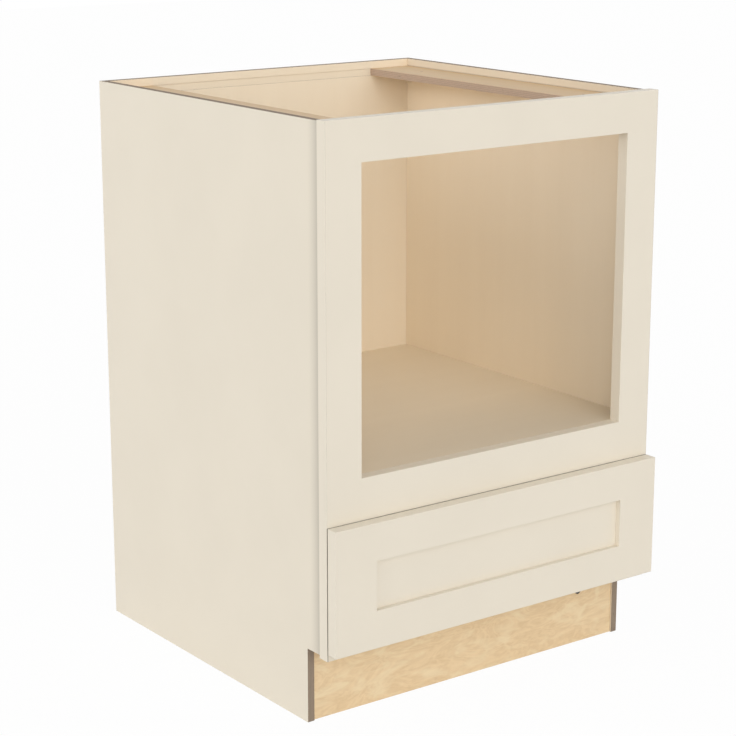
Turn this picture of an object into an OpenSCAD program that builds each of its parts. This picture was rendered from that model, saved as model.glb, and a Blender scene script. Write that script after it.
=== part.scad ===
// Framed base cabinet for a built-in microwave: an open bay over one full-overlay drawer.
// X runs across the front, Y from the drawer front to the back, Z upwards, in millimetres.
// The origin is on the floor, under the middle of the closed cabinet.

/* [Cabinet] */
// Width across the face frame
cabinet_w = 609.6; // [560:0.1:760]
// Depth from the front of the face frame to the back of the case
cabinet_d = 609.6; // [590:0.1:680]
// Height from the floor to the top of the face frame
cabinet_h = 876.3; // [850:0.1:930]
// How far the top edges of the panels lie below the top of the face frame
case_drop = 1.6; // [1:0.1:4]

/* [Face frame] */
// Thickness of the frame members
frame_t = 19.05; // [16:0.05:24]
// How far the frame stands out past each side panel
frame_overhang = 2.4; // [1:0.1:6]
// How far the frame reaches down past the top of the toe notch
frame_drop = 3.3; // [0:0.1:12]
// Width of each stile
stile_w = 60.3; // [48:0.1:75]
// Height of the top rail
top_rail_h = 60.3; // [40:0.1:80]
// Height of the rail between the microwave opening and the drawer
mid_rail_h = 76.2; // [50:0.1:90]
// Height of the bottom rail
bottom_rail_h = 41.3; // [36:0.1:48]
// Clear height of the microwave opening
opening_h = 444.5; // [400:0.5:450]
// Length of the rail tenons
tenon_l = 12; // [6:0.5:20]
// Thickness of the rail tenons
tenon_t = 6.4; // [5:0.1:8]
// Shoulder above and below each tenon
tenon_shoulder = 6; // [3:0.5:10]
// Depth of the groove in each stile that takes the side panel
stile_groove_d = 6; // [3:0.1:9]

/* [Case] */
// Thickness of the side panels
panel_t = 11.5; // [10:0.1:18]
// Thickness of the back panel
back_t = 12; // [10:0.1:18]
// Thickness of the cabinet floor
floor_t = 12; // [9:0.1:18]
// Thickness of the shelf under the microwave
shelf_t = 18; // [12:0.1:25]
// Thickness of the tongues along the side edges of the shelf
shelf_tongue_t = 9; // [6:0.1:11]
// Depth of the grooves in the side panels
dado_d = 4; // [2:0.1:6]
// Depth of the rabbet that takes the edge of the back panel
rabbet_d = 5.5; // [3:0.1:8]
// Depth of the groove across the back panel
back_groove_d = 1.5; // [1:0.1:6]
// Clearance between a board and the groove or mortise that takes it
joint_gap = 0.1; // [0.05:0.05:0.3]

/* [Toe space] */
// Height of the toe notch
toe_h = 114.3; // [95:0.1:125]
// Depth of the toe notch behind the face frame
toe_d = 33.4; // [20:0.1:60]
// How far the toe board lies behind the front edges of the notch
toe_inset = 3; // [1:0.1:10]
// Thickness of the toe board
toe_board_t = 12; // [9:0.1:18]
// Height of the underside of the floor above the top of the toe notch
floor_lift = 3; // [0:0.1:10]
// Distance of each toe board screw from the middle
toe_screw_x = 219; // [150:1:235]
// Height of the right-hand toe board screw
toe_screw_z = 86.6; // [60:0.1:100]
// How much higher the left-hand toe board screw lies
toe_screw_step = 5; // [0:0.5:12]
// Width of each block behind the toe board
toe_block_w = 60; // [30:1:70]
// Depth of each block behind the toe board
toe_block_d = 38; // [20:1:60]
// Height of each block behind the toe board
toe_block_h = 80; // [60:1:90]

/* [Top stretchers] */
// Thickness of the stretchers
stretcher_t = 11.5; // [9:0.1:18]
// How far each stretcher shows past the inside of its side panel
stretcher_w = 77.3; // [50:0.1:120]
// How far the stretchers lie below the top edges of the panels
stretcher_drop = 12.1; // [6:0.1:30]
// Diameter of the holes for the worktop screws
worktop_hole_d = 5; // [4:0.1:8]
// Distance between the two worktop holes of one stretcher
worktop_hole_pitch = 400; // [200:1:480]
// Distance of the worktop holes from the inside of the side panel
worktop_hole_in = 38; // [20:1:45]

/* [Drawer front] */
// Thickness of the drawer front
front_t = 19.05; // [16:0.05:24]
// Gap between the drawer front and the face frame, held by the bumpers
front_gap = 2; // [0.3:0.1:4]
// Reveal of the face frame on each side of the drawer front
front_reveal = 0.3; // [0:0.1:6]
// Height of the lower edge above the bottom of the face frame
front_rise = 10.9; // [0:0.1:12]
// How far the drawer front overlaps the middle rail
front_overlay = 14.3; // [6:0.1:20]
// Width of the stiles of the drawer front
front_stile_w = 71.4; // [50:0.1:90]
// Height of the rails of the drawer front
front_rail_h = 56.6; // [54:0.1:65]
// Depth of the recessed panel behind the face
panel_recess = 9; // [4:0.1:10]
// Thickness of the recessed panel
panel_board_t = 5.5; // [4:0.1:6]
// Depth of the groove that takes the recessed panel
panel_groove_d = 6; // [4:0.1:8]
// Shoulder above and below the tongues at the ends of the rails
front_shoulder = 9; // [9:0.5:16]
// Diameter of the bumpers
bumper_d = 8; // [5:0.5:12]
// Distance of the bumpers from the edges of the drawer front
bumper_in = 7; // [6:0.5:9]

/* [Drawer box] */
// Gap between the top of the bottom rail and the drawer box
box_lift = 8; // [6:0.1:12]
// Gap between the drawer box and the middle rail
box_headroom = 22.3; // [10:0.1:30]
// Thickness of the boards of the drawer box
box_t = 15; // [12:0.1:18]
// Thickness of the drawer bottom
bottom_t = 6; // [4:0.1:9]
// Height of the drawer bottom above the lower edge of the box
bottom_up = 12; // [10:0.1:16]
// Depth of the groove that takes the drawer bottom
bottom_groove_d = 6; // [4:0.1:7]
// Number of dovetails at each corner
tail_count = 5; // [3:1:7]
// Width of a dovetail at its tip
tail_w = 14; // [12:0.1:15]
// How much a dovetail narrows towards its root
tail_taper = 4; // [2:0.1:6]
// Wood left in front of the tips of the dovetails
tail_lap = 4; // [2:0.1:6]

/* [Slides] */
// Length of the slides and of the drawer box
slide_l = 533.4; // [450:0.1:560]
// Space for a slide on each side of the drawer box
slide_w = 12.7; // [12.4:0.1:13.5]
// Height of the outer member
slide_h = 45; // [44:0.1:48]
// Sheet thickness of the members
slide_sheet = 1.2; // [1:0.05:1.3]
// Height of the middle of the slides above the lower edge of the drawer box
slide_rise = 45; // [35:1:60]
// Distance of the slides behind the face of the frame
slide_setback = 2; // [1:0.1:6]
// Diameter of the balls
ball_d = 4; // [3.6:0.1:4.2]
// Running gap between a ball and the members
ball_gap = 0.4; // [0.2:0.05:0.5]
// Number of balls in one row
ball_count = 8; // [4:1:10]
// Distance between neighbouring balls
ball_pitch = 21; // [16:0.5:24]
// Length of the ball retainers
cage_l = 170; // [165:1:180]
// Distance of the retainers behind the front ends of the closed slides
cage_start = 170; // [150:1:200]
// Thickness of the retainers
cage_t = 1.2; // [0.8:0.1:1.6]
// Clearance of a ball in its retainer
cage_gap = 0.05; // [0.03:0.01:0.1]
// Length of the rubber stop at the rear of each slide
stop_l = 8; // [4:0.5:16]
// Distance of the first slide screw from the front of the slide
slide_screw_first = 37; // [20:1:60]
// Distance between the slide screws
slide_screw_pitch = 224; // [180:1:230]
// Number of screws in each slide member
slide_screw_count = 3; // [2:1:3]
// Length of the release levers
lever_l = 46; // [30:1:60]

/* [Slide supports] */
// Thickness of the rails that carry the slides
support_t = 19; // [15:0.1:24]
// Height of the rails that carry the slides
support_h = 64; // [50:1:70]
// Length of the blocks between a rail and the side panel
spacer_l = 60; // [30:1:90]
// Number of blocks behind each rail
spacer_count = 3; // [2:1:5]

/* [Hardware] */
// Length of each leg of the angle brackets
bracket_leg = 22; // [20:0.5:30]
// Width of the angle brackets
bracket_w = 18; // [14:0.5:24]
// Sheet thickness of the angle brackets
bracket_sheet = 1.6; // [1:0.1:2.5]
// Diameter of the screw holes in the angle brackets
bracket_hole_d = 4.2; // [4:0.1:5]
// Distance of the bracket screws from the corner
bracket_screw_in = 13; // [11:0.5:14]
// Distance of the floor and shelf brackets from the front and back of the case
bracket_end = 110; // [100:1:200]
// Depth of the lower frame brackets below the top of the shelf
bracket_low = 54; // [50:1:60]
// Height of the middle frame brackets above the top of the shelf
bracket_mid = 54; // [20:1:150]
// Depth of the top frame brackets below the stretchers
bracket_top = 30; // [12:1:100]
// Diameter of the wood screws
screw_d = 3.6; // [3:0.1:3.9]
// Diameter of the screw heads
screw_head_d = 7.6; // [6.6:0.1:8]
// Height of the screw heads
screw_head_h = 2.2; // [1.6:0.1:2.4]
// Height of the flat heads of the slide screws
slide_head_h = 1.2; // [0.8:0.1:1.3]
// Length of the bracket and slide screws in the wood
short_screw_l = 8.5; // [6:0.1:9.5]
// Length of the screws through the back panel
back_screw_l = 38; // [25:1:50]
// Distance of the outer back screws from the inside of the side panels
back_screw_in = 38.6; // [30:0.1:60]
// Length of the screws that hold the drawer front
front_screw_l = 26; // [20:1:28]
// Distance of the drawer front screws from the middle
front_screw_x = 150; // [80:1:200]
// Distance of the lower drawer front screws from the lower edge of the box
front_screw_low = 6.2; // [5.5:0.1:6.5]
// Distance of the upper drawer front screws from the top of the box
front_screw_top = 8; // [7:0.5:14]
// Diameter of the heads of the toe board screws
toe_head_d = 11.5; // [9:0.5:13]
// Height of the heads of the toe board screws
toe_head_h = 1.6; // [1:0.1:2]
// Length of the toe board screws
toe_screw_l = 32; // [20:1:40]
// Clearance around a screw in its hole
screw_gap = 0.1; // [0.05:0.01:0.15]

/* [Hidden] */

$fn = 32;
eps = 0.5;

cream = [0.906, 0.871, 0.804];
maple = [0.88, 0.78, 0.62];
birch = [0.86, 0.74, 0.56];
zinc = [0.74, 0.75, 0.77];
steel = [0.62, 0.63, 0.65];
black = [0.09, 0.09, 0.1];
clear = [0.85, 0.87, 0.88];

// Cross recess of the screws, as shares of the width and height of the head
recess_arm = 0.5;
recess_slot = 0.14;
recess_depth = 0.6;

// Stations in depth
y_back = (cabinet_d + front_gap + front_t) / 2;
y_frame = y_back - cabinet_d;
y_frame_back = y_frame + frame_t;
y_back_in = y_back - back_t;
y_toe = y_frame_back + toe_d;
y_toe_board = y_toe + toe_inset;
y_front = y_frame - front_gap;
y_face = y_front - front_t;

// Stations in width, on the right-hand side
x_frame = cabinet_w / 2;
x_out = x_frame - frame_overhang;
x_in = x_out - panel_t;
x_open = x_frame - stile_w;
x_box = x_open - slide_w;
x_box_in = x_box - box_t;
x_front = x_frame - front_reveal;
x_stretcher = x_in - stretcher_w;

// Stations in height
z_frame = toe_h - frame_drop;
z_floor = toe_h + floor_lift;
z_open_top = cabinet_h - top_rail_h;
z_shelf = z_open_top - opening_h;
z_shelf_under = z_shelf - shelf_t;
z_mid_rail = z_shelf - mid_rail_h;
z_bottom_rail = z_frame + bottom_rail_h;
z_box = z_bottom_rail + box_lift;
z_box_top = z_mid_rail - box_headroom;
z_slide = z_box + slide_rise;
z_front = z_frame + front_rise;
z_front_top = z_mid_rail + front_overlay;
z_case_top = cabinet_h - case_drop;
z_stretcher_top = z_case_top - stretcher_drop;
z_stretcher = z_stretcher_top - stretcher_t;

// Drawer box
box_h = z_box_top - z_box;
box_y_back = y_front + slide_l;
tail_l = box_t - tail_lap;
tail_pitch = box_h / tail_count;

// Slide section, measured from the face of the support towards the drawer
slide_y = y_frame + slide_setback;
middle_u = slide_sheet + slide_head_h + ball_gap;
tip_u = slide_w - 2 * slide_sheet - ball_gap;
inner_tip_u = middle_u + slide_sheet + ball_gap;
outer_v = slide_h / 2;
ball_room = ball_d + 2 * ball_gap;
middle_v = outer_v - slide_sheet - ball_room;
inner_v = middle_v - slide_sheet - ball_room;
outer_ball_v = middle_v + ball_room / 2;
inner_ball_v = inner_v + ball_room / 2;
outer_ball_u = (middle_u + tip_u - slide_sheet) / 2;
inner_ball_u = (inner_tip_u + tip_u) / 2;
moving_l = slide_l - stop_l - ball_gap;
slide_screw_y = [for (i = [0 : slide_screw_count - 1]) slide_y + slide_screw_first + i * slide_screw_pitch];

// Places of the brackets and screws
frame_bracket_z = [z_shelf - bracket_low, z_shelf + bracket_mid, z_stretcher - bracket_top];
case_bracket_y = [y_frame_back + bracket_end, y_back_in - bracket_end];
back_screw_x = [-(x_in - back_screw_in), 0, x_in - back_screw_in];
back_screw_z = [z_floor + floor_t / 2, z_shelf - shelf_t / 2, z_stretcher + stretcher_t / 2];
worktop_hole_x = x_in - worktop_hole_in;
worktop_hole_y = (y_frame_back + y_back_in) / 2;

// A board between two opposite corners
module board(low, high) {
  translate(low) cube(high - low);
}

// Repeats a right-hand piece on the left
module both_sides() {
  children();
  on_left() children();
}

module on_left() {
  mirror([1, 0, 0]) children();
}

// Screws point along +Z, with the underside of the head at the origin
module pan_screw(length, head_d, head_h) {
  difference() {
    union() {
      cylinder(d = screw_d, h = length - screw_d / 2);
      translate([0, 0, length - screw_d / 2]) cylinder(d1 = screw_d, d2 = screw_d / 4, h = screw_d / 2);
      translate([0, 0, -head_h]) cylinder(d = head_d, h = head_h);
    }
    cross_recess(-head_h, head_h, head_d);
  }
}

// Cross recess cut into a head from its top face
module cross_recess(top, head_h, head_d) {
  arm = head_d * recess_arm;
  slot = head_d * recess_slot;
  for (turn = [0, 90])
    rotate([0, 0, turn])
      translate([-arm / 2, -slot / 2, top - eps]) cube([arm, slot, head_h * recess_depth + eps]);
}

// Flat-head screw whose head ends flush with the surface at the origin
module flat_screw(length) {
  difference() {
    union() {
      cylinder(d1 = screw_head_d, d2 = screw_d, h = screw_head_h);
      cylinder(d = screw_d, h = length - screw_d / 2);
      translate([0, 0, length - screw_d / 2]) cylinder(d1 = screw_d, d2 = screw_d / 4, h = screw_d / 2);
    }
    cross_recess(0, screw_head_h, screw_head_d);
  }
}

module pilot(length) {
  translate([0, 0, -eps]) cylinder(d = screw_d + 2 * screw_gap, h = length + screw_gap + eps);
}

module countersink() {
  cylinder(d1 = screw_head_d + 2 * screw_gap, d2 = screw_d + 2 * screw_gap, h = screw_head_h + screw_gap);
  translate([0, 0, -eps]) cylinder(d = screw_head_d + 2 * screw_gap, h = eps + 0.01);
}

// Angle bracket with its corner at the origin and its legs along +X and +Y
module angle_bracket() {
  difference() {
    union() {
      translate([0, 0, -bracket_w / 2]) cube([bracket_leg, bracket_sheet, bracket_w]);
      translate([0, 0, -bracket_w / 2]) cube([bracket_sheet, bracket_leg, bracket_w]);
    }
    at_bracket_screws() translate([0, 0, -eps]) cylinder(d = bracket_hole_d, h = bracket_sheet + 2 * eps);
  }
}

// The two screws of a bracket, each pointing into the wood from the face of its leg
module at_bracket_screws() {
  translate([bracket_screw_in, bracket_sheet, 0]) rotate([90, 0, 0]) children();
  translate([bracket_sheet, bracket_screw_in, 0]) rotate([0, -90, 0]) children();
}

module at_frame_brackets() {
  both_sides()
    for (z = frame_bracket_z)
      translate([x_in, y_frame_back, z]) mirror([1, 0, 0]) children();
}

module at_shelf_brackets() {
  both_sides()
    for (y = case_bracket_y)
      translate([x_in, y, z_shelf_under]) mirror([1, 0, 0]) rotate([-90, 0, 0]) children();
}

module at_floor_brackets() {
  both_sides()
    for (y = case_bracket_y)
      translate([x_in, y, z_floor]) mirror([1, 0, 0]) rotate([-90, 0, 0]) children();
}

module bracket_pilots() {
  at_frame_brackets() at_bracket_screws() pilot(short_screw_l + bracket_sheet);
  at_shelf_brackets() at_bracket_screws() pilot(short_screw_l + bracket_sheet);
  at_floor_brackets() at_bracket_screws() pilot(short_screw_l + bracket_sheet);
}

module at_back_screws() {
  for (x = back_screw_x, z = back_screw_z)
    if (x != 0 || z < z_stretcher)
      translate([x, y_back, z]) rotate([90, 0, 0]) children();
}

module at_toe_screws() {
  translate([toe_screw_x, y_toe_board, toe_screw_z]) rotate([-90, 0, 0]) children();
  translate([-toe_screw_x, y_toe_board, toe_screw_z + toe_screw_step]) rotate([-90, 0, 0]) children();
}

module at_front_screws() {
  for (z = [z_box + front_screw_low, z_box_top - front_screw_top])
    both_sides() translate([front_screw_x, y_front + box_t, z]) rotate([90, 0, 0]) children();
}

// Screws through the outer member into its support
module at_support_screws() {
  both_sides()
    for (y = slide_screw_y)
      translate([x_open - slide_sheet, y, z_slide]) rotate([0, 90, 0]) children();
}

// Screws through the inner member into the drawer side
module at_drawer_screws() {
  both_sides()
    for (y = slide_screw_y)
      translate([x_box + slide_sheet, y, z_slide]) rotate([0, -90, 0]) children();
}

// Case

module side_panel() {
  difference() {
    board([x_in, y_frame_back - stile_groove_d + joint_gap, 0], [x_out, y_back, z_case_top]);
    board([x_in - eps, y_frame, -eps], [x_out + eps, y_toe, toe_h]);
    side_groove(z_floor, floor_t);
    side_groove(z_shelf_under, shelf_tongue_t);
    side_groove(z_stretcher, stretcher_t);
    board([x_in - eps, y_back_in - joint_gap, -eps], [x_in + rabbet_d, y_back + eps, z_case_top + eps]);
    bracket_pilots();
  }
}

// Groove in the side panel for a board of the given height and thickness
module side_groove(z, thickness) {
  board([x_in - eps, y_frame, z - joint_gap], [x_in + dado_d, y_back, z + thickness + joint_gap]);
}

module left_side_panel() {
  color(cream) on_left() side_panel();
}

module right_side_panel() {
  color(cream) side_panel();
}

module back_panel() {
  edge = x_in + rabbet_d - joint_gap;
  color(maple)
    difference() {
      board([-edge, y_back_in, 0], [edge, y_back, z_case_top]);
      board(
        [-edge - eps, y_back_in - eps, z_stretcher - joint_gap],
        [edge + eps, y_back_in + back_groove_d, z_stretcher_top + joint_gap]
      );
      at_back_screws() pilot(back_t + eps);
      at_back_screws() countersink();
    }
}

// Horizontal board held in the side grooves between the frame and the back
module case_board(z, thickness) {
  edge = x_in + dado_d - joint_gap;
  difference() {
    board([-edge, y_frame_back, z], [edge, y_back_in, z + thickness]);
    at_back_screws() pilot(back_screw_l);
    bracket_pilots();
  }
}

module cabinet_floor() {
  color(maple) case_board(z_floor, floor_t);
}

// The top of the shelf ends at the side panels, and only a tongue enters each groove
module microwave_shelf() {
  color(maple)
    difference() {
      case_board(z_shelf_under, shelf_t);
      both_sides()
        board(
          [x_in - joint_gap, y_frame_back - eps, z_shelf_under + shelf_tongue_t],
          [x_out, y_back_in + eps, z_shelf + eps]
        );
    }
}

module top_stretcher() {
  difference() {
    board(
      [x_stretcher, y_frame_back, z_stretcher],
      [x_in + dado_d - joint_gap, y_back_in + back_groove_d - joint_gap, z_stretcher_top]
    );
    for (end = [-1, 1])
      translate([worktop_hole_x, worktop_hole_y + end * worktop_hole_pitch / 2, z_stretcher - eps])
        cylinder(d = worktop_hole_d, h = stretcher_t + 2 * eps);
    at_back_screws() pilot(back_screw_l);
  }
}

module left_top_stretcher() {
  color(maple) on_left() top_stretcher();
}

module right_top_stretcher() {
  color(maple) top_stretcher();
}

module toe_board() {
  color(maple)
    difference() {
      board([-x_in + joint_gap, y_toe_board, 0], [x_in - joint_gap, y_toe_board + toe_board_t, z_floor]);
      at_toe_screws() pilot(toe_board_t + eps);
    }
}

module toe_blocks() {
  y = y_toe_board + toe_board_t;
  color(birch)
    difference() {
      both_sides()
        board(
          [toe_screw_x - toe_block_w / 2, y, z_floor - toe_block_h],
          [toe_screw_x + toe_block_w / 2, y + toe_block_d, z_floor]
        );
      at_toe_screws() pilot(toe_screw_l);
    }
}

module toe_board_screws() {
  color(black) at_toe_screws() pan_screw(toe_screw_l, toe_head_d, toe_head_h);
}

// Face frame

module stile() {
  difference() {
    board([x_open, y_frame, z_frame], [x_frame, y_frame_back, cabinet_h]);
    board(
      [x_in - joint_gap, y_frame_back - stile_groove_d, z_frame - eps],
      [x_out + joint_gap, y_frame_back + eps, z_case_top + joint_gap]
    );
    frame_tenon(z_open_top, top_rail_h, joint_gap);
    frame_tenon(z_mid_rail, mid_rail_h, joint_gap);
    frame_tenon(z_frame, bottom_rail_h, joint_gap);
    bracket_pilots();
  }
}

// Tenon of a frame rail, or its mortise where a clearance is given
module frame_tenon(z, height, clearance) {
  y_low = (y_frame + y_frame_back - tenon_t) / 2;
  tenon([x_open, y_low, z + tenon_shoulder], [tenon_l, tenon_t, height - 2 * tenon_shoulder], clearance);
}

// Block that stands out towards +X from its root, grown by the clearance
module tenon(root, size, clearance) {
  grown = [clearance, clearance, clearance];
  board(root - grown - [eps, 0, 0], root + size + grown);
}

module rail(z, height) {
  board([-x_open, y_frame, z], [x_open, y_frame_back, z + height]);
  both_sides() frame_tenon(z, height, 0);
}

module left_stile() {
  color(cream) on_left() stile();
}

module right_stile() {
  color(cream) stile();
}

module top_rail() {
  color(cream) rail(z_open_top, top_rail_h);
}

module middle_rail() {
  color(cream) rail(z_mid_rail, mid_rail_h);
}

module bottom_rail() {
  color(cream) rail(z_frame, bottom_rail_h);
}

// Hardware of the case

module frame_brackets() {
  color(steel) at_frame_brackets() angle_bracket();
}

module shelf_brackets() {
  color(steel) at_shelf_brackets() angle_bracket();
}

module floor_brackets() {
  color(steel) at_floor_brackets() angle_bracket();
}

module bracket_screw() {
  pan_screw(short_screw_l + bracket_sheet, screw_head_d, screw_head_h);
}

module bracket_screws() {
  color(zinc) {
    at_frame_brackets() at_bracket_screws() bracket_screw();
    at_shelf_brackets() at_bracket_screws() bracket_screw();
    at_floor_brackets() at_bracket_screws() bracket_screw();
  }
}

module back_panel_screws() {
  color(zinc) at_back_screws() flat_screw(back_screw_l);
}

// Supports of the slides

module slide_support() {
  difference() {
    board(
      [x_open, y_frame_back, z_slide - support_h / 2],
      [x_open + support_t, y_back_in, z_slide + support_h / 2]
    );
    at_support_screws() pilot(slide_sheet + short_screw_l);
  }
}

module left_slide_support() {
  color(birch) on_left() slide_support();
}

module right_slide_support() {
  color(birch) slide_support();
}

module support_blocks() {
  step = (y_back_in - y_frame_back - spacer_l) / (spacer_count - 1);
  for (i = [0 : spacer_count - 1])
    translate([0, i * step, 0])
      board(
        [x_open + support_t, y_frame_back, z_slide - support_h / 2],
        [x_in, y_frame_back + spacer_l, z_slide + support_h / 2]
      );
}

module left_support_blocks() {
  color(birch) on_left() support_blocks();
}

module right_support_blocks() {
  color(birch) support_blocks();
}

// Slides: u runs from the support towards the drawer, v runs up from the middle of the slide

module slide_run(start, length) {
  translate([x_open, slide_y + start, z_slide]) rotate([90, 0, 180]) linear_extrude(length) children();
}

// Channel section with its web at u = 0 and its flanges running to the given reach
module channel_section(reach, half_h, lip) {
  translate([0, -half_h]) square([slide_sheet, 2 * half_h]);
  for (flip = [0, 1])
    mirror([0, flip]) {
      translate([0, half_h - slide_sheet]) square([reach, slide_sheet]);
      translate([reach - slide_sheet, half_h - slide_sheet - lip]) square([slide_sheet, slide_sheet + lip]);
    }
}

module slide_outer() {
  lip = ball_room / 2 - cage_t / 2 - ball_gap;
  difference() {
    slide_run(0, slide_l) channel_section(tip_u, outer_v, lip);
    at_support_screws() translate([0, 0, -slide_sheet]) pilot(3 * slide_sheet);
  }
}

module slide_middle() {
  slide_run(0, moving_l) translate([middle_u, 0]) channel_section(tip_u - middle_u, middle_v, 0);
}

module slide_inner() {
  difference() {
    slide_run(0, moving_l)
      translate([slide_w, 0]) mirror([1, 0]) channel_section(slide_w - inner_tip_u, inner_v, 0);
    at_drawer_screws() translate([0, 0, -slide_sheet]) pilot(3 * slide_sheet);
  }
}

// Places the balls of the upper and lower rows at the given section point
module at_balls(u, v) {
  for (row = [-1, 1], i = [0 : ball_count - 1])
    translate([
      x_open - u,
      slide_y + cage_start + cage_l / 2 + (i - (ball_count - 1) / 2) * ball_pitch,
      z_slide + row * v
    ])
      children();
}

module balls(u, v) {
  at_balls(u, v) sphere(d = ball_d);
}

// Two strips with a hole around each ball
module retainer(u, v, low_u, high_u) {
  difference() {
    for (row = [-1, 1])
      translate([0, 0, row * v])
        slide_run(cage_start, cage_l) translate([low_u, -cage_t / 2]) square([high_u - low_u, cage_t]);
    at_balls(u, v)
      translate([0, 0, -cage_t]) cylinder(d = ball_d + 2 * cage_gap, h = 2 * cage_t);
  }
}

module outer_retainer() {
  retainer(outer_ball_u, outer_ball_v, slide_sheet + ball_gap, tip_u);
}

module inner_retainer() {
  retainer(inner_ball_u, inner_ball_v, middle_u + slide_sheet + ball_gap, slide_w - slide_sheet - ball_gap);
}

module left_slide_outer() {
  color(zinc) on_left() slide_outer();
}

module right_slide_outer() {
  color(zinc) slide_outer();
}

module left_slide_middle() {
  color(zinc) on_left() slide_middle();
}

module right_slide_middle() {
  color(zinc) slide_middle();
}

module left_slide_inner() {
  color(zinc) on_left() slide_inner();
}

module right_slide_inner() {
  color(zinc) slide_inner();
}

module left_outer_retainer() {
  color(steel) on_left() outer_retainer();
}

module right_outer_retainer() {
  color(steel) outer_retainer();
}

module left_inner_retainer() {
  color(black) on_left() inner_retainer();
}

module right_inner_retainer() {
  color(black) inner_retainer();
}

module left_outer_balls() {
  color(steel) on_left() balls(outer_ball_u, outer_ball_v);
}

module right_outer_balls() {
  color(steel) balls(outer_ball_u, outer_ball_v);
}

module left_inner_balls() {
  color(steel) on_left() balls(inner_ball_u, inner_ball_v);
}

module right_inner_balls() {
  color(steel) balls(inner_ball_u, inner_ball_v);
}

// Rubber stop inside the rear end of each outer member
module slide_stops() {
  color(black)
    both_sides()
      slide_run(slide_l - stop_l, stop_l)
        translate([slide_sheet, -inner_v]) square([tip_u - slide_sheet, 2 * inner_v]);
}

// Release lever inside the channel of each inner member, near its front end
module slide_release_levers() {
  lever_h = inner_v - slide_sheet;
  lever_t = slide_sheet;
  color(black)
    both_sides()
      slide_run(slide_screw_first + screw_head_d, lever_l)
        translate([slide_w - slide_sheet - lever_t, -lever_h / 2]) square([lever_t, lever_h]);
}

module slide_support_screws() {
  color(zinc) at_support_screws() pan_screw(slide_sheet + short_screw_l, screw_head_d, slide_head_h);
}

module slide_drawer_screws() {
  color(zinc) at_drawer_screws() pan_screw(slide_sheet + short_screw_l, screw_head_d, slide_head_h);
}

// Drawer front

// Space of the recessed panel, or of its groove where a clearance is given
module panel_space(clearance) {
  x = x_front - front_stile_w + panel_groove_d - joint_gap + clearance;
  reach = front_rail_h - panel_groove_d + joint_gap - clearance;
  board(
    [-x, y_face + panel_recess - clearance, z_front + reach],
    [x, y_face + panel_recess + panel_board_t + clearance, z_front_top - reach]
  );
}

module front_stile() {
  difference() {
    board([x_front - front_stile_w, y_face, z_front], [x_front, y_front, z_front_top]);
    panel_space(joint_gap);
    front_tongue(z_front, joint_gap);
    front_tongue(z_front_top - front_rail_h, joint_gap);
  }
}

module front_rail(z) {
  x = x_front - front_stile_w;
  difference() {
    union() {
      board([-x, y_face, z], [x, y_front, z + front_rail_h]);
      both_sides() front_tongue(z, 0);
    }
    panel_space(joint_gap);
    at_front_screws() pilot(front_screw_l);
  }
}

// Tongue at the end of a rail of the drawer front, or its slot where a clearance is given
module front_tongue(z, clearance) {
  root = [x_front - front_stile_w, y_face + panel_recess, z + front_shoulder];
  tenon(root, [panel_groove_d, panel_board_t, front_rail_h - 2 * front_shoulder], clearance);
}

module drawer_front_left_stile() {
  color(cream) on_left() front_stile();
}

module drawer_front_right_stile() {
  color(cream) front_stile();
}

module drawer_front_top_rail() {
  color(cream) front_rail(z_front_top - front_rail_h);
}

module drawer_front_bottom_rail() {
  color(cream) front_rail(z_front);
}

module drawer_front_panel() {
  color(cream) panel_space(0);
}

module drawer_front_screws() {
  color(zinc) at_front_screws() pan_screw(front_screw_l, screw_head_d, screw_head_h);
}

module drawer_bumpers() {
  color(clear)
    for (z = [z_front + bumper_in, z_front_top - bumper_in])
      both_sides()
        translate([x_front - bumper_in, y_front, z])
          rotate([-90, 0, 0]) cylinder(d = bumper_d, h = front_gap);
}

// Drawer box

// Dovetails of a drawer side, or their sockets where a clearance is given
module dovetails(clearance) {
  y_mid = (y_front + box_y_back) / 2;
  tip = tail_w / 2 + clearance;
  root = (tail_w - tail_taper) / 2 + clearance;
  for (end = [0, 1], i = [0 : tail_count - 1])
    translate([x_box_in - clearance, y_mid, z_box + (i + 0.5) * tail_pitch])
      mirror([0, end, 0])
        translate([0, y_mid - y_front - box_t, 0])
          rotate([90, 0, 90])
            linear_extrude(box_t + 2 * clearance)
              polygon([[0, -root], [0, root], [tail_l + clearance, tip], [tail_l + clearance, -tip]]);
}

// Space of the drawer bottom, or of its groove where a clearance is given
module bottom_space(clearance) {
  x = x_box_in + bottom_groove_d - joint_gap + clearance;
  inset = box_t - bottom_groove_d + joint_gap - clearance;
  board(
    [-x, y_front + inset, z_box + bottom_up - clearance],
    [x, box_y_back - inset, z_box + bottom_up + bottom_t + clearance]
  );
}

module box_side() {
  difference() {
    union() {
      board([x_box_in, y_front + box_t, z_box], [x_box, box_y_back - box_t, z_box_top]);
      dovetails(0);
    }
    bottom_space(joint_gap);
    at_drawer_screws() pilot(slide_sheet + short_screw_l);
  }
}

module box_end(y) {
  difference() {
    board([-x_box, y, z_box], [x_box, y + box_t, z_box_top]);
    both_sides() dovetails(joint_gap);
    bottom_space(joint_gap);
    at_front_screws() pilot(front_screw_l);
  }
}

module drawer_box_left_side() {
  color(birch) on_left() box_side();
}

module drawer_box_right_side() {
  color(birch) box_side();
}

module drawer_box_front() {
  color(birch) box_end(y_front);
}

module drawer_box_back() {
  color(birch) box_end(box_y_back - box_t);
}

module drawer_box_bottom() {
  color(birch) bottom_space(0);
}

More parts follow.
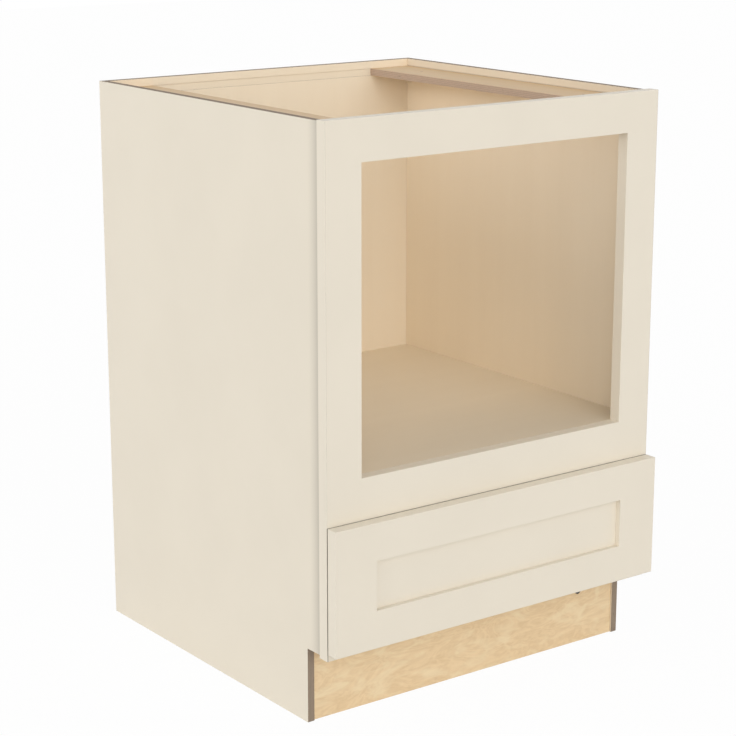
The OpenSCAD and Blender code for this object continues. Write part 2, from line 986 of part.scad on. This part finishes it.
left_side_panel();
right_side_panel();
back_panel();
cabinet_floor();
microwave_shelf();
left_top_stretcher();
right_top_stretcher();
toe_board();
toe_blocks();
toe_board_screws();
left_stile();
right_stile();
top_rail();
middle_rail();
bottom_rail();
frame_brackets();
shelf_brackets();
floor_brackets();
bracket_screws();
back_panel_screws();
left_slide_support();
right_slide_support();
left_support_blocks();
right_support_blocks();
left_slide_outer();
right_slide_outer();
left_slide_middle();
right_slide_middle();
left_slide_inner();
right_slide_inner();
left_outer_retainer();
right_outer_retainer();
left_inner_retainer();
right_inner_retainer();
left_outer_balls();
right_outer_balls();
left_inner_balls();
right_inner_balls();
slide_stops();
slide_release_levers();
slide_support_screws();
slide_drawer_screws();
drawer_front_left_stile();
drawer_front_right_stile();
drawer_front_top_rail();
drawer_front_bottom_rail();
drawer_front_panel();
drawer_front_screws();
drawer_bumpers();
drawer_box_left_side();
drawer_box_right_side();
drawer_box_front();
drawer_box_back();
drawer_box_bottom();
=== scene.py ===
import math

import bpy
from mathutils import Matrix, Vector


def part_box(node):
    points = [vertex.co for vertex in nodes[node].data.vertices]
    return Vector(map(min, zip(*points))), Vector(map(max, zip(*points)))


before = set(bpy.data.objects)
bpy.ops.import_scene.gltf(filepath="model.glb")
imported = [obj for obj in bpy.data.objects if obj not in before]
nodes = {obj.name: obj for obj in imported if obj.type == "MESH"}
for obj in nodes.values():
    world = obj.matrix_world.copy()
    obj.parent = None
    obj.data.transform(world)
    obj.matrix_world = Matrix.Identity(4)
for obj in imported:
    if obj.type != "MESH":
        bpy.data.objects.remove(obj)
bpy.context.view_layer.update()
scene = bpy.context.scene

MM = 0.001


# ---------------------------------------------------------------- camera

def make_camera():
    """The camera stands in front of the cabinet, to its left and a little above it."""
    tilt_down, turn_right = 14.2965, 36.4082
    data = bpy.data.cameras.new("camera")
    data.sensor_width = 36.0
    data.lens = 100.487
    data.clip_start = 0.05
    data.clip_end = 60.0
    camera = bpy.data.objects.new("camera", data)
    camera.location = (-1.86614, -2.50809, 1.23027)
    camera.rotation_euler = (math.radians(90 - tilt_down), 0.0, math.radians(-turn_right))
    scene.collection.objects.link(camera)
    scene.camera = camera


# ---------------------------------------------------------------- shader building

def linear(*rgb):
    """Linear colour of an sRGB colour given in 0 to 255."""
    out = []
    for value in rgb:
        v = value / 255
        out.append(v / 12.92 if v <= 0.04045 else ((v + 0.055) / 1.055) ** 2.4)
    return (*out, 1.0)


class Shader:
    """A material under construction, in object space, where one unit is a metre."""

    def __init__(self, name):
        self.material = bpy.data.materials.new(name)
        self.material.use_nodes = True
        self.tree = self.material.node_tree
        self.tree.nodes.clear()
        self.output = self.add("ShaderNodeOutputMaterial")
        self.coord = self.add("ShaderNodeTexCoord")

    def add(self, kind, **settings):
        node = self.tree.nodes.new(kind)
        for key, value in settings.items():
            setattr(node, key, value)
        return node

    def put(self, socket, value):
        if isinstance(value, bpy.types.NodeSocket):
            self.tree.links.new(value, socket)
        else:
            socket.default_value = value

    def math(self, operation, a, b=0.0, clamp=False):
        node = self.add("ShaderNodeMath", operation=operation, use_clamp=clamp)
        self.put(node.inputs[0], a)
        self.put(node.inputs[1], b)
        return node.outputs[0]

    def mix(self, factor, a, b):
        node = self.add("ShaderNodeMix", data_type="RGBA")
        self.put(node.inputs["Factor"], factor)
        self.put(node.inputs[6], a)
        self.put(node.inputs[7], b)
        return node.outputs[2]

    def blend(self, factor, a, b):
        node = self.add("ShaderNodeMix", data_type="FLOAT")
        self.put(node.inputs["Factor"], factor)
        self.put(node.inputs[2], a)
        self.put(node.inputs[3], b)
        return node.outputs[0]

    def spread(self, value, low, high, to_low=0.0, to_high=1.0):
        node = self.add("ShaderNodeMapRange")
        self.put(node.inputs[0], value)
        for i, v in enumerate((low, high, to_low, to_high), 1):
            node.inputs[i].default_value = v
        return node.outputs[0]

    def place(self, scale=(1, 1, 1), shift=(0, 0, 0)):
        node = self.add("ShaderNodeMapping")
        self.put(node.inputs["Vector"], self.coord.outputs["Object"])
        node.inputs["Location"].default_value = shift
        node.inputs["Scale"].default_value = scale
        return node.outputs[0]

    def noise(self, vector, scale=1.0, detail=2.0, roughness=0.5, distortion=0.0):
        node = self.add("ShaderNodeTexNoise")
        self.put(node.inputs["Vector"], vector)
        node.inputs["Scale"].default_value = scale
        node.inputs["Detail"].default_value = detail
        node.inputs["Roughness"].default_value = roughness
        node.inputs["Distortion"].default_value = distortion
        return node.outputs[0]

    def axes(self, source="Object"):
        node = self.add("ShaderNodeSeparateXYZ")
        self.put(node.inputs[0], self.coord.outputs[source])
        return node.outputs

    def surface(self, colour, roughness, height=None, depth=0.1 * MM, metal=0.0, **fixed):
        """Ends the material with a Principled surface and a bump of the given depth in metres."""
        shader = self.add("ShaderNodeBsdfPrincipled")
        self.put(shader.inputs["Base Color"], colour)
        self.put(shader.inputs["Roughness"], roughness)
        shader.inputs["Metallic"].default_value = metal
        for key, value in fixed.items():
            shader.inputs[key].default_value = value
        if height is not None:
            bump = self.add("ShaderNodeBump")
            bump.inputs["Strength"].default_value = 1.0
            bump.inputs["Distance"].default_value = depth
            self.put(bump.inputs["Height"], height)
            self.tree.links.new(bump.outputs[0], shader.inputs["Normal"])
        self.tree.links.new(shader.outputs[0], self.output.inputs[0])
        return self.material


def along(axis, low, high):
    """Scales that stretch a texture along one axis: low along it and high across it."""
    return tuple(low if i == axis else high for i in range(3))


# ---------------------------------------------------------------- surfaces

X, Y, Z = range(3)

# sRGB colours, 0 to 255
CREAM = (231, 222, 205)
# the inner plywood of the case is one wood, lightened as painted light by a different amount for the walls,
# the back and the boards
WALL_IN = (248, 233, 209)
BACK_IN = (241, 226, 202)
BOARD_IN = (241, 227, 203)
STRETCHER = (221, 191, 151)
TOE = (232, 206, 167)
BIRCH = (226, 200, 160)
EDGE = (150, 134, 117)
# the same plywood edge colour made lighter, as painted light, for the stretchers
PAINTED_LIGHT_EDGE = (189, 165, 145)
# dark colour of the painted shadow in the gap round the drawer front
GAP_SHADOW_COLOUR = (40, 34, 27)
BLACK = (0, 0, 0)


def paint_parts(s):
    """Sprayed cream lacquer: a hardly seen mottle and a fine orange peel."""
    mottle = s.noise(s.place(), 7.0, 3.0, 0.55)
    light = tuple(c + 1 for c in CREAM)
    dark = tuple(c - 1 for c in CREAM)
    colour = s.mix(s.spread(mottle, 0.35, 0.65), linear(*dark), linear(*light))
    peel = s.noise(s.place(), 420.0, 2.0, 0.5)
    roughness = s.spread(s.noise(s.place(), 22.0, 2.0), 0.3, 0.7, 0.38, 0.47)
    return colour, roughness, peel


def wood_parts(s, rgb, axis, contrast=1.0, figure=0.0, shift=(0.0, 0.0, 0.0)):
    """Close-grained hardwood: long streaks, fine fibres, short flecks and, if asked, a swirling figure."""
    streak_share, ring_share, ring_waves = 0.62, 0.22, 46.0
    dark_drop, light_lift, pale_lift = (0.075, 0.105, 0.15), (0.035, 0.045, 0.05), (1.03, 1.07, 1.10)
    streak = s.noise(s.place(along(axis, 1.3, 26.0), shift), 1.0, 4.0, 0.55, 0.4)
    fibre = s.noise(s.place(along(axis, 14.0, 620.0), shift), 1.0, 3.0, 0.6)
    fleck = s.noise(s.place(along(axis, 120.0, 900.0), shift), 1.0, 1.0, 0.5)
    tone = s.math("ADD", s.math("MULTIPLY", streak, streak_share),
                  s.math("MULTIPLY", fibre, 1 - streak_share))
    if figure:
        field = s.noise(s.place(along(axis, 11.0, 27.0), shift), 1.0, 3.0, 0.55, 1.3)
        rings = s.spread(s.math("SINE", s.math("MULTIPLY", field, ring_waves)), -1.0, 1.0)
        cloud = s.noise(s.place(along(axis, 20.0, 64.0), shift), 1.0, 4.0, 0.7, 1.6)
        swirl = s.math("ADD", s.math("MULTIPLY", rings, ring_share),
                       s.math("MULTIPLY", cloud, 1 - ring_share))
        tone = s.blend(figure, tone, swirl)
    tone = s.spread(tone, 0.28, 0.72)
    dark = tuple(c * (1 - k * contrast) for c, k in zip(rgb, dark_drop))
    light = tuple(min(255, c * (1 + k * contrast)) for c, k in zip(rgb, light_lift))
    colour = s.mix(tone, linear(*dark), linear(*light))
    if figure:
        drift = s.noise(s.place(along(axis, 17.0, 45.0), shift), 1.0, 2.0, 0.5, 1.2)
        pale = tuple(min(255, c * k) for c, k in zip(rgb, pale_lift))
        colour = s.mix(s.spread(drift, 0.5, 0.68, 0.0, 0.75 * figure), colour, linear(*pale))
    flecked = s.spread(fleck, 0.66, 0.78, 0.0, 0.35 * contrast)
    colour = s.mix(flecked, colour, linear(*(c * 0.86 for c in rgb)))
    roughness = s.spread(fibre, 0.3, 0.7, 0.46, 0.58)
    return colour, roughness, fibre


def layer_parts(s, axis, low, thickness, plies, rgb):
    """The edge of plywood: plies of long grain and end grain by turns."""
    height = s.math("DIVIDE", s.math("SUBTRACT", s.axes()[axis], low), thickness)
    turn = s.math("SINE", s.math("MULTIPLY", height, math.pi * plies))
    band = s.spread(turn, -0.35, 0.35)
    grit = s.noise(s.place(along(axis, 2600.0, 240.0)), 1.0, 3.0, 0.65)
    void = s.spread(s.noise(s.place(along(axis, 700.0, 60.0)), 1.0, 2.0), 0.68, 0.74, 0.0, 0.5)
    light = tuple(c * 1.05 for c in rgb)
    dark = tuple(c * 0.95 for c in rgb)
    colour = s.mix(band, linear(*dark), linear(*light))
    colour = s.mix(s.spread(grit, 0.35, 0.7, 0.0, 0.4), colour, linear(*(c * 0.8 for c in rgb)))
    colour = s.mix(void, colour, linear(*(c * 0.55 for c in rgb)))
    return colour, 0.78, grit


def darken(s, parts, amount):
    """Mixes black into the colour of a surface, and keeps its roughness and its height."""
    colour, roughness, height = parts
    return s.mix(amount, colour, linear(*BLACK)), roughness, height


def corner_shade(s, parts):
    """Deepens the paint of a side panel towards the corner with the face frame."""
    reach, depth, falloff = 26 * MM, 0.31, 1.4
    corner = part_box("left_stile")[1].y
    near = s.spread(s.axes()[Y], corner, corner + reach, 1.0, 0.0)
    return darken(s, parts, s.math("MULTIPLY", s.math("POWER", near, falloff), depth))


def bay_shade(s, parts):
    """Deepens the bay's wood towards its lower front right corner, which gets the least light."""
    depth, full, clear = 0.2, -250 * MM, -60 * MM
    shelf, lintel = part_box("microwave_shelf")[1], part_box("top_rail")[0]
    x, y, z = s.axes()
    front = s.spread(y, full, clear, 1.0, 0.0)
    right = s.spread(x, -shelf.x, shelf.x, 0.2, 1.0)
    low = s.spread(z, shelf.z, lintel.z, 1.0, 0.35)
    return darken(s, parts, s.math("MULTIPLY", s.math("MULTIPLY", front, depth),
                                   s.math("MULTIPLY", right, low)))


def seat_shade(s, parts):
    """Painted shade on the wood above the stretchers, darkest in the corner where they meet the panel."""
    depth, corner_gain = 0.17, 1.3
    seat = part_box("right_top_stretcher")[1].z
    z = s.axes()[Z]
    strip = s.spread(z, seat - 0.2 * MM, seat + 0.2 * MM, 0.0, depth)
    corner = s.spread(z, seat + 0.6 * MM, seat + 2.4 * MM, 1.0, 0.0)
    gain = s.math("ADD", 1.0, s.math("MULTIPLY", corner, corner_gain))
    return darken(s, parts, s.math("MULTIPLY", strip, gain))


def frame_paint():
    """The same paint with a painted shadow line in the gap round the drawer front, and painted shade along
    the outer arrises.
    """
    gap_shadow_depth, arris_shade_depth, line_edge = 0.74, 0.14, 0.6 * MM
    s = Shader("frame_paint")
    colour, roughness, peel = paint_parts(s)
    x, _, z = s.axes()
    side = s.math("ABSOLUTE", x)
    reach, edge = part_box("drawer_front_right_stile")[1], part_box("right_stile")[1].x
    # painted shadow: the frame's front face darkens just inside the drawer front's sides and top, where the
    # gap is
    line = s.math("MAXIMUM", s.spread(side, reach.x - 1.9 * MM, reach.x - line_edge),
                  s.spread(z, reach.z - 1.4 * MM, reach.z - line_edge))
    inside = s.math("MULTIPLY", s.math("LESS_THAN", side, reach.x), s.math("LESS_THAN", z, reach.z))
    gap_shadow = s.math("MULTIPLY", s.math("MULTIPLY", line, inside), gap_shadow_depth)
    # painted shade: the frame's front face darkens along its outer arrises
    arris_shade = s.spread(side, edge - 1.5 * MM, edge - 0.7 * MM, 0.0, arris_shade_depth)
    amount = s.math("MULTIPLY", s.math("MAXIMUM", gap_shadow, arris_shade), facing(s, Y, -1))
    return s.surface(s.mix(amount, colour, linear(*GAP_SHADOW_COLOUR)), roughness, peel, 0.02 * MM)


def facing(s, axis, sign=0):
    """1 where the surface faces along the axis, on both sides or on the side of the given sign."""
    normal = s.axes("Normal")[axis]
    value = s.math("ABSOLUTE", normal) if sign == 0 else s.math("MULTIPLY", normal, float(sign))
    return s.math("GREATER_THAN", value, 0.6)


def choose(s, factor, a, b):
    """The colour, roughness and height of surface a where the factor is 0 and of b where it is 1."""
    return (s.mix(factor, a[0], b[0]), s.blend(factor, a[1], b[1]), s.blend(factor, a[2], b[2]))


def cream_paint():
    s = Shader("cream_paint")
    colour, roughness, peel = paint_parts(s)
    return s.surface(colour, roughness, peel, 0.02 * MM)


def plywood(name, node, axis, grain, rgb, contrast=0.11, figure=0.0, painted=0, plies=9,
            edge_rgb=EDGE, shade=False):
    """Plywood whose thickness runs along axis. The face on the painted side (1 or -1) is cream."""
    low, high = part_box(node)
    s = Shader(name)
    edge = layer_parts(s, axis, low[axis], high[axis] - low[axis], plies, edge_rgb)
    grain_shift = (0.37 * plies, 0.11 * plies, 0.23 * plies)
    face = wood_parts(s, rgb, grain, contrast, figure, grain_shift)
    if shade:
        face = bay_shade(s, face)
    if painted:
        face = seat_shade(s, face)
        face = choose(s, facing(s, axis, painted), face, corner_shade(s, paint_parts(s)))
    colour, roughness, height = choose(s, facing(s, axis), edge, face)
    return s.surface(colour, roughness, height, 0.03 * MM, **{"Specular IOR Level": 0.3})


def solid_wood(name, axis, rgb=BIRCH, contrast=0.8):
    s = Shader(name)
    colour, roughness, fibre = wood_parts(s, rgb, axis, contrast)
    return s.surface(colour, roughness, fibre, 0.03 * MM)


def zinc_plate():
    s = Shader("zinc_steel")
    spangle = s.noise(s.place(), 130.0, 3.0, 0.6, 0.6)
    colour = s.mix(s.spread(spangle, 0.3, 0.7), linear(186, 190, 196), linear(214, 216, 219))
    roughness = s.spread(s.noise(s.place(along(Y, 30.0, 900.0)), 1.0, 2.0), 0.3, 0.7, 0.27, 0.42)
    return s.surface(colour, roughness, spangle, 0.01 * MM, metal=1.0)


def ball_steel():
    s = Shader("ball_steel")
    haze = s.noise(s.place(), 900.0, 2.0)
    colour = s.mix(haze, linear(196, 198, 202), linear(220, 221, 223))
    return s.surface(colour, s.spread(haze, 0.3, 0.7, 0.10, 0.18), metal=1.0)


def dark_coat(name, rgb, low, high, grain, depth=0.02 * MM, metal=0.0):
    """A dark coating, plastic or rubber with a fine grain."""
    s = Shader(name)
    cells = s.noise(s.place(), grain, 2.0, 0.6)
    colour = s.mix(cells, linear(*rgb), linear(*(c * 1.35 for c in rgb)))
    return s.surface(colour, s.spread(cells, 0.3, 0.7, low, high), cells, depth, metal=metal)


def clear_rubber():
    s = Shader("clear_rubber")
    haze = s.noise(s.place(), 700.0, 2.0)
    colour = s.mix(haze, linear(226, 230, 231), linear(240, 242, 242))
    return s.surface(colour, s.spread(haze, 0.3, 0.7, 0.22, 0.34), haze, 0.01 * MM,
                     **{"Transmission Weight": 0.6, "IOR": 1.45})


def dress(material, *names):
    for name in names:
        slots = nodes[name].data.materials
        slots.clear()
        slots.append(material)


def dress_all():
    dress(frame_paint(), "left_stile", "right_stile", "top_rail", "middle_rail", "bottom_rail")
    dress(cream_paint(), "drawer_front_left_stile", "drawer_front_right_stile",
          "drawer_front_top_rail", "drawer_front_bottom_rail", "drawer_front_panel")
    for side, sign in (("left", -1), ("right", 1)):
        panel = side + "_side_panel"
        dress(plywood(panel + "_ply", panel, X, Z, WALL_IN, painted=sign, shade=sign > 0), panel)
        rail = side + "_top_stretcher"
        # the stretchers' edges take the lightened edge colour, as painted light
        dress(plywood(rail + "_ply", rail, Z, Y, STRETCHER, 0.4, edge_rgb=PAINTED_LIGHT_EDGE), rail)
    dress(plywood("back_ply", "back_panel", Y, Z, BACK_IN), "back_panel")
    dress(plywood("shelf_ply", "microwave_shelf", Z, X, BOARD_IN, plies=13, shade=True),
          "microwave_shelf")
    dress(plywood("floor_ply", "cabinet_floor", Z, X, BOARD_IN), "cabinet_floor")
    dress(plywood("toe_ply", "toe_board", Y, X, TOE, 0.6, figure=0.85), "toe_board")
    dress(plywood("bottom_ply", "drawer_box_bottom", Z, X, BIRCH, 0.6, plies=5),
          "drawer_box_bottom")
    dress(solid_wood("birch_along_y", Y), "drawer_box_left_side", "drawer_box_right_side",
          "left_slide_support", "right_slide_support", "left_support_blocks", "right_support_blocks")
    dress(solid_wood("birch_along_x", X), "drawer_box_front", "drawer_box_back", "toe_blocks")
    dress(zinc_plate(), "frame_brackets", "shelf_brackets", "floor_brackets", "bracket_screws",
          "back_panel_screws", "left_slide_outer", "right_slide_outer", "left_slide_middle",
          "right_slide_middle", "left_slide_inner", "right_slide_inner", "left_outer_retainer",
          "right_outer_retainer", "slide_support_screws", "slide_drawer_screws",
          "drawer_front_screws")
    dress(ball_steel(), "left_outer_balls", "right_outer_balls", "left_inner_balls", "right_inner_balls")
    dress(dark_coat("black_steel", (34, 33, 33), 0.32, 0.5, 500.0, 0.01 * MM), "toe_board_screws")
    dress(dark_coat("black_plastic", (30, 30, 32), 0.38, 0.52, 900.0), "slide_release_levers",
          "left_inner_retainer", "right_inner_retainer")
    dress(dark_coat("black_rubber", (26, 26, 27), 0.65, 0.85, 600.0, 0.04 * MM), "slide_stops")
    dress(clear_rubber(), "drawer_bumpers")


# ---------------------------------------------------------------- eased edges

def easing_group(name, planes, only):
    """Marks the convex edges to be rounded, but none that lies in one of the joint planes.
    Each plane is (axis, distance from the middle). With only=True it marks just those edges."""
    weld_gap, shortest, least_angle, plane_gap = 0.002 * MM, 8 * MM, 0.7, 0.05 * MM
    group = bpy.data.node_groups.new(name, "GeometryNodeTree")
    group.interface.new_socket("Geometry", in_out="INPUT", socket_type="NodeSocketGeometry")
    group.interface.new_socket("Geometry", in_out="OUTPUT", socket_type="NodeSocketGeometry")
    new, link = group.nodes.new, group.links.new

    def calc(operation, a, b):
        node = new("ShaderNodeMath")
        node.operation = operation
        for socket, value in zip(node.inputs, (a, b)):
            if isinstance(value, bpy.types.NodeSocket):
                link(value, socket)
            else:
                socket.default_value = value
        return node.outputs[0]

    start, end = new("NodeGroupInput"), new("NodeGroupOutput")
    weld = new("GeometryNodeMergeByDistance")
    weld.inputs["Distance"].default_value = weld_gap
    link(start.outputs[0], weld.inputs["Geometry"])
    position = new("ShaderNodeSeparateXYZ")
    link(new("GeometryNodeInputPosition").outputs[0], position.inputs[0])
    angle = new("GeometryNodeInputMeshEdgeAngle")
    ends = new("GeometryNodeInputMeshEdgeVertices")
    span = new("ShaderNodeVectorMath")
    span.operation = "DISTANCE"
    link(ends.outputs["Position 1"], span.inputs[0])
    link(ends.outputs["Position 2"], span.inputs[1])
    straight = calc("GREATER_THAN", span.outputs["Value"], shortest)
    convex = calc("MULTIPLY", straight, calc("GREATER_THAN", angle.outputs["Signed Angle"], least_angle))
    in_plane = None
    for axis, distance in planes:
        off = calc("SUBTRACT", position.outputs[axis], distance)
        near = calc("LESS_THAN", calc("ABSOLUTE", off, 0.0), plane_gap)
        in_plane = near if in_plane is None else calc("MAXIMUM", in_plane, near)
    weight = convex
    if in_plane is not None:
        weight = calc("MULTIPLY", convex, in_plane if only else calc("SUBTRACT", 1.0, in_plane))
    store = new("GeometryNodeStoreNamedAttribute")
    store.data_type, store.domain = "FLOAT", "EDGE"
    store.inputs["Name"].default_value = "bevel_weight_edge"
    link(weld.outputs[0], store.inputs["Geometry"])
    link(weight, store.inputs["Value"])
    plain = new("GeometryNodeSetMeshNormal")
    plain.mode = "SHARPNESS"
    plain.inputs["Face Sharpness"].default_value = True
    link(store.outputs[0], plain.inputs["Mesh"])
    link(plain.outputs[0], end.inputs[0])
    return group


def ease(names, radius, planes=(), only=False):
    """Rounds the arrises of flat-faced pieces with modifiers, and leaves their joints tight."""
    group = easing_group("ease_" + names[0], planes, only)
    for name in names:
        node = nodes[name]
        mark = node.modifiers.new("mark", "NODES")
        mark.node_group = group
        bevel = node.modifiers.new("bevel", "BEVEL")
        bevel.limit_method = "WEIGHT"
        bevel.width = radius
        bevel.segments = 3
        bevel.use_clamp_overlap = True
        bevel.harden_normals = False


# ---------------------------------------------------------------- light and floor

def background_shader(tree, lit, shown):
    """Joins a lit look with a plain white one that only the eye, mirrors and glass see."""
    path = tree.nodes.new("ShaderNodeLightPath")
    first, second = tree.nodes.new("ShaderNodeMath"), tree.nodes.new("ShaderNodeMath")
    first.operation = second.operation = "MAXIMUM"
    tree.links.new(path.outputs["Is Camera Ray"], first.inputs[0])
    tree.links.new(path.outputs["Is Glossy Ray"], first.inputs[1])
    tree.links.new(first.outputs[0], second.inputs[0])
    tree.links.new(path.outputs["Is Transmission Ray"], second.inputs[1])
    mix = tree.nodes.new("ShaderNodeMixShader")
    tree.links.new(second.outputs[0], mix.inputs[0])
    tree.links.new(lit, mix.inputs[1])
    tree.links.new(shown, mix.inputs[2])
    return mix.outputs[0]


def make_world():
    world = bpy.data.worlds.new("world")
    scene.world = world
    world.use_nodes = True
    tree = world.node_tree
    tree.nodes.clear()
    lit, shown = tree.nodes.new("ShaderNodeBackground"), tree.nodes.new("ShaderNodeBackground")
    lit.inputs[0].default_value = (0.5, 0.5, 0.5, 1.0)
    shown.inputs[0].default_value = (1.0, 1.0, 1.0, 1.0)
    out = tree.nodes.new("ShaderNodeOutputWorld")
    tree.links.new(background_shader(tree, lit.outputs[0], shown.outputs[0]), out.inputs[0])


def make_soft_lights():
    """Three broad lamps: for the front, for the left side, and a higher one between them."""
    spread = math.radians(45)
    # name, direction of the light in degrees from +Y towards +X, its fall in degrees, strength
    lamps = (("front_lamp", 0, 10, 0.89), ("side_lamp", 90, 10, 1.24), ("high_lamp", 28, 22, 0.71))
    for name, azimuth, elevation, energy in lamps:
        data = bpy.data.lights.new(name, "SUN")
        data.energy = energy
        data.angle = spread
        lamp = bpy.data.objects.new(name, data)
        low, turn = math.radians(elevation), math.radians(azimuth)
        travel = Vector((math.sin(turn) * math.cos(low), math.cos(turn) * math.cos(low), -math.sin(low)))
        lamp.rotation_euler = travel.to_track_quat("-Z", "Y").to_euler()
        scene.collection.objects.link(lamp)


def make_floor():
    """A white floor that shows the object's shadow, just under the object so that no faces coincide."""
    reach, level, shadow_share = 12.0, -0.2 * MM, 0.04
    mesh = bpy.data.meshes.new("floor")
    corners = [(-reach, -reach, level), (reach, -reach, level), (reach, reach, level), (-reach, reach, level)]
    mesh.from_pydata(corners, [], [(0, 1, 2, 3)])
    floor = bpy.data.objects.new("floor", mesh)
    scene.collection.objects.link(floor)
    material = bpy.data.materials.new("floor")
    material.use_nodes = True
    tree = material.node_tree
    tree.nodes.clear()
    lit = tree.nodes.new("ShaderNodeBsdfDiffuse")
    lit.inputs[0].default_value = (0.8, 0.8, 0.8, 1.0)
    seen = tree.nodes.new("ShaderNodeBsdfDiffuse")
    seen.inputs[0].default_value = (1.0, 1.0, 1.0, 1.0)
    white = tree.nodes.new("ShaderNodeEmission")
    shown = tree.nodes.new("ShaderNodeMixShader")
    shown.inputs[0].default_value = shadow_share
    tree.links.new(white.outputs[0], shown.inputs[1])
    tree.links.new(seen.outputs[0], shown.inputs[2])
    out = tree.nodes.new("ShaderNodeOutputMaterial")
    tree.links.new(background_shader(tree, lit.outputs[0], shown.outputs[0]), out.inputs[0])
    mesh.materials.append(material)


# ---------------------------------------------------------------- assembly

x_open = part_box("right_stile")[0].x
front_rail_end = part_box("drawer_front_right_stile")[0].x
z_box_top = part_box("drawer_box_left_side")[1].z

make_camera()
scene.view_settings.view_transform = "Standard"
make_world()
make_soft_lights()
make_floor()
dress_all()

# the joints between stiles and rails stay tight: in the face frame, then in the drawer front
frame_joints = [(X, x_open), (X, -x_open)]
front_joints = [(X, front_rail_end), (X, -front_rail_end)]
ease(["left_stile", "right_stile"], 0.5 * MM, frame_joints)
ease(["top_rail", "middle_rail", "bottom_rail"], 0.5 * MM, frame_joints)
ease(["drawer_front_left_stile", "drawer_front_right_stile"], 0.7 * MM, front_joints)
ease(["drawer_front_top_rail", "drawer_front_bottom_rail"], 0.7 * MM, front_joints)
ease(["left_side_panel", "right_side_panel", "back_panel", "microwave_shelf", "cabinet_floor",
      "left_top_stretcher", "right_top_stretcher", "toe_board"], 0.25 * MM)
ease(["drawer_box_left_side", "drawer_box_right_side", "drawer_box_front", "drawer_box_back"],
     0.6 * MM, [(Z, z_box_top)], only=True)
ease(["left_slide_support", "right_slide_support", "left_support_blocks", "right_support_blocks",
      "toe_blocks"], 0.4 * MM)
